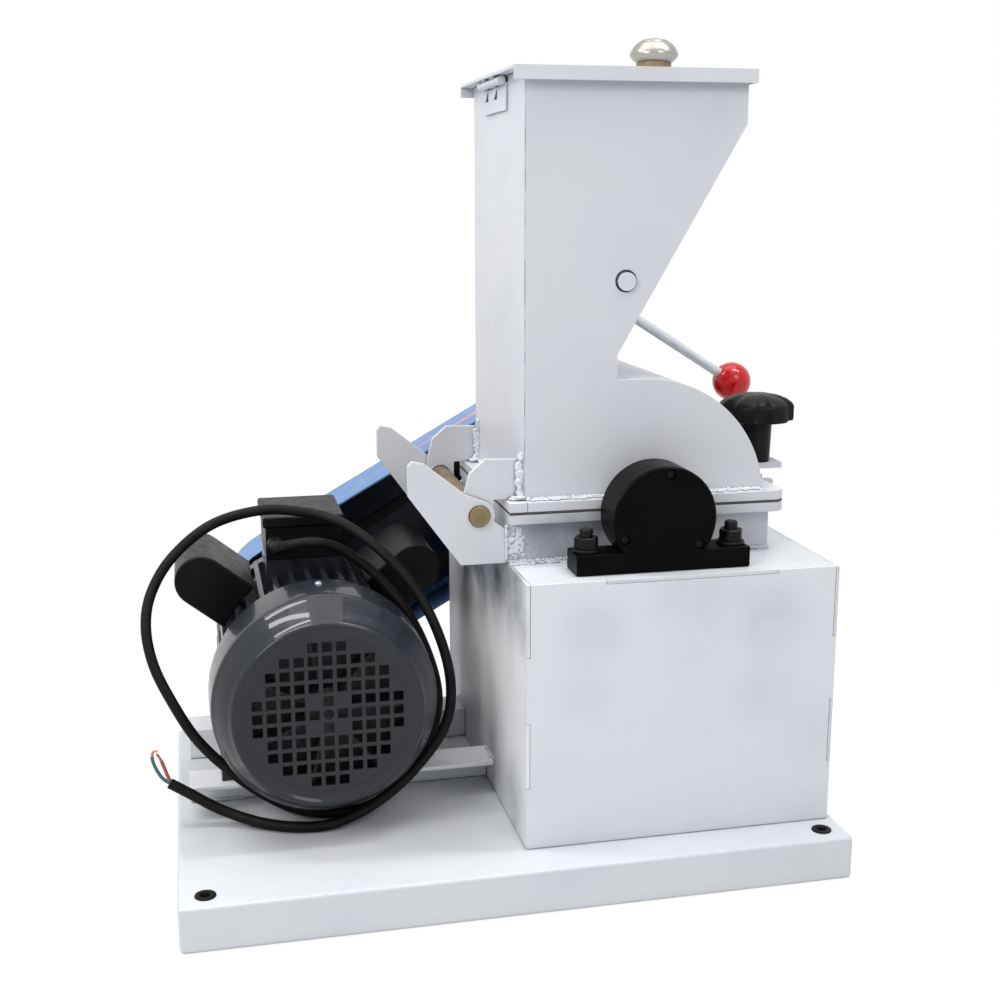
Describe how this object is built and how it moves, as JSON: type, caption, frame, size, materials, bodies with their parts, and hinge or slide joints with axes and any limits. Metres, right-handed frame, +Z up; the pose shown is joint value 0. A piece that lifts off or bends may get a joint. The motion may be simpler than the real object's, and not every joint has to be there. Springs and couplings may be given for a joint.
{
  "type": "crusher",
  "caption": "Small laboratory hammer crusher with a swing-open hopper over a hammer rotor, a belt drive under a blue guard and a foot-mounted motor with its cord",
  "frame": {"origin": "Centre of the bounding box, on the floor under the base pan, without the cord", "axes": "+X to the right seen from the fan cover's side, +Y to the belt guard at the back, +Z up"},
  "size_m": [0.6285, 0.4624, 0.7318],
  "materials": {
    "sheet_paint": "semi-gloss white",
    "black_paint": "semi-gloss black",
    "blue_paint": "glossy blue",
    "motor_paint": "glossy dark grey",
    "bare_steel": "plain",
    "forged": "dark, worn",
    "zinc": "yellow zinc",
    "polished": "polished nickel",
    "dark_cover": "satin brown-black",
    "red_plastic": "glossy red",
    "black_plastic": "satin",
    "rubber": "matt",
    "gasket": "matt brown"
  },
  "bodies": {
    "base": {"base_pan": "sheet_paint", "stand_front": "sheet_paint", "stand_left": "sheet_paint", "stand_right": "sheet_paint", "stand_top": "sheet_paint", "collecting_drawer": "sheet_paint", "lower_housing": "sheet_paint", "gasket_left": "gasket", "gasket_right": "gasket", "lower_hinge_plate_front": "sheet_paint", "lower_hinge_plate_back": "sheet_paint", "hinge_pin": "zinc", "front_bearing": "black_paint", "rear_bearing": "black_paint", "grate": "forged", "drive_belt": "rubber", "belt_guard": "blue_paint", "fan_cover": "motor_paint", "fan_grille": "motor_paint", "motor_body": "motor_paint", "terminal_box": "dark_cover", "terminal_box_lid": "dark_cover", "capacitor_cover_left": "dark_cover", "capacitor_cover_right": "dark_cover", "motor_rail_front": "sheet_paint", "motor_rail_back": "sheet_paint", "mains_cord": "rubber"},
    "upper_housing": {"hopper_shell": "sheet_paint", "upper_hinge_plate_front": "sheet_paint", "upper_hinge_plate_back": "sheet_paint", "hopper_hinge_leaf": "sheet_paint"},
    "lid_body": {"lid": "sheet_paint", "lid_knob": "polished"},
    "gate": {"gate_flap": "bare_steel", "gate_lever": "bare_steel", "lever_ball": "red_plastic"},
    "clamp_knob": {"star_knob": "black_plastic"},
    "crusher_rotor": {"rotor_body": "forged", "hammer_row_1": "forged", "hammer_row_2": "forged", "hammer_row_3": "forged", "hammer_row_4": "forged", "rotor_pulley": "forged"},
    "motor_rotor": {"motor_pulley": "forged", "cooling_fan": "black_plastic"}
  },
  "joints": [
    {"name": "housing_swing", "type": "hinge", "parent": "base", "child": "upper_housing", "pos_m": [-0.03381, -0.01515, 0.3195], "axis": [0, -1, 0], "range_deg": [0, 75]},
    {"name": "lid_hinge", "type": "hinge", "parent": "upper_housing", "child": "lid_body", "pos_m": [-0.00001, -0.01515, 0.6879], "axis": [0, -1, 0], "range_deg": [0, 135]},
    {"name": "gate_lever_turn", "type": "hinge", "parent": "upper_housing", "child": "gate", "pos_m": [0.09549, 0.09885, 0.519], "axis": [0, -1, 0], "range_deg": [0, 60]},
    {"name": "clamp_knob_turn", "type": "hinge", "parent": "upper_housing", "child": "clamp_knob", "pos_m": [0.26249, -0.01515, 0.338], "axis": [0, 0, 1], "continuous": true},
    {"name": "rotor_spin", "type": "hinge", "parent": "base", "child": "crusher_rotor", "pos_m": [0.11549, -0.01515, 0.322], "axis": [0, 1, 0], "continuous": true},
    {"name": "motor_spin", "type": "hinge", "parent": "base", "child": "motor_rotor", "pos_m": [-0.17121, 0.14285, 0.1604], "axis": [0, 1, 0], "continuous": true}
  ],
  "couplings": [
    {"joint": "motor_spin", "follows": "rotor_spin", "ratio": 1.25}
  ]
}
